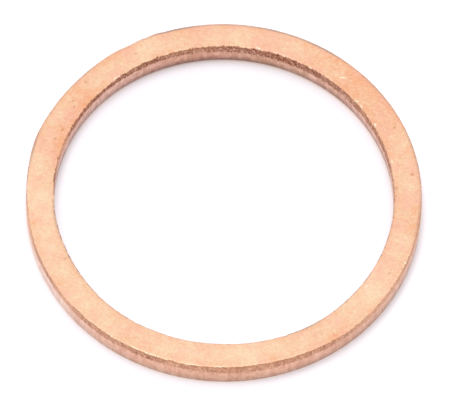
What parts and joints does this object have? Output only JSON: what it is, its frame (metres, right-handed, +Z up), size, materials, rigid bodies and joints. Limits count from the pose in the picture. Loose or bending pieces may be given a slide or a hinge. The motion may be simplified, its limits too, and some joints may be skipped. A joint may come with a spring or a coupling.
{
  "type": "drain plug sealing ring",
  "caption": "Flat punched copper ring, clamped under the head of a threaded drain plug, where the soft metal yields and seals the port.",
  "frame": {"origin": "centre of the lower face, which the ring lies on, on the ring's axis", "axes": "+Z up along the ring's axis, from the rolled lower face to the torn upper edges; +X to the picture's right, +Y away from its camera"},
  "size_m": [0.028, 0.028, 0.002],
  "materials": {
    "copper": null
  },
  "bodies": {
    "root": {"sealing_ring": "copper"}
  },
  "joints": []
}
